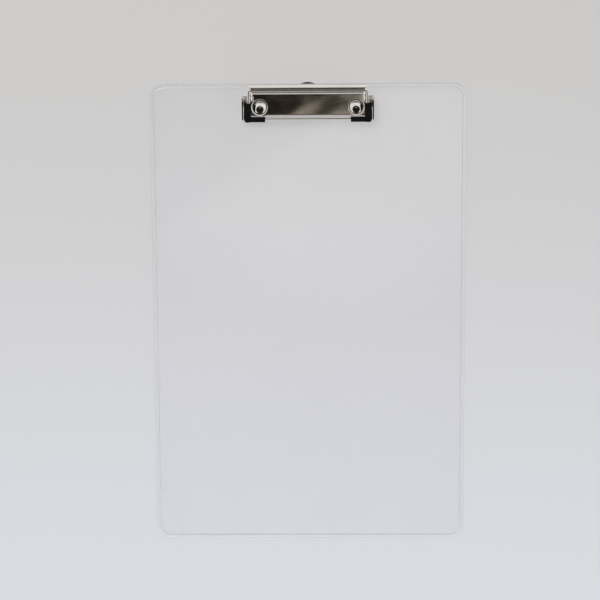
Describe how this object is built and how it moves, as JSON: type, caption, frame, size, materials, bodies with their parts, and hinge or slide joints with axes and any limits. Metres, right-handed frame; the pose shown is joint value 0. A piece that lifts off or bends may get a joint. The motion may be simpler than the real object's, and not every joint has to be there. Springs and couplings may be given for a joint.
{
  "type": "clipboard",
  "caption": "Clear plastic clipboard with rounded corners, a sprung wire lever clip with rubber jaw sleeves, and a sliding hanging tab.",
  "frame": {"origin": "middle of the rest surface, under the centre of the object's bounding box", "axes": "+Y along the board towards the clip, +X across the board, +Z out of the writing face"},
  "size_m": [0.23, 0.3414, 0.0209],
  "materials": {
    "clear_plastic": "clear gloss",
    "nickel_plate": "mirror",
    "nickel_rivet": "polished",
    "nickel_wire": "polished",
    "plated_washer": "satin",
    "spring_steel": "satin",
    "black_rubber": "matt"
  },
  "bodies": {
    "board": {"board": "clear_plastic", "clip_base_plate": "nickel_plate", "rivet_left": "nickel_rivet", "rivet_right": "nickel_rivet", "rivet_washer_left": "plated_washer", "rivet_washer_right": "plated_washer", "pivot_pin_left": "nickel_rivet", "pivot_pin_right": "nickel_rivet", "torsion_spring_left": "spring_steel", "torsion_spring_right": "spring_steel"},
    "lever": {"lever_plate": "nickel_plate", "jaw_wire": "nickel_wire", "corner_sleeve_left": "black_rubber", "corner_sleeve_right": "black_rubber"},
    "tab": {"hanging_tab": "nickel_plate"}
  },
  "joints": [
    {"name": "lever_pivot", "type": "hinge", "parent": "board", "child": "lever", "pos_m": [0, 0.15845, 0.0078], "axis": [-1, 0, 0], "range_deg": [0, 28], "stiffness_Nm_per_rad": 0.2, "springref_deg": -57.3, "deforming": ["torsion_spring_left", "torsion_spring_right"]},
    {"name": "tab_slide", "type": "slide", "parent": "board", "child": "tab", "axis": [0, 1, 0], "range_m": [0, 0.01]}
  ]
}
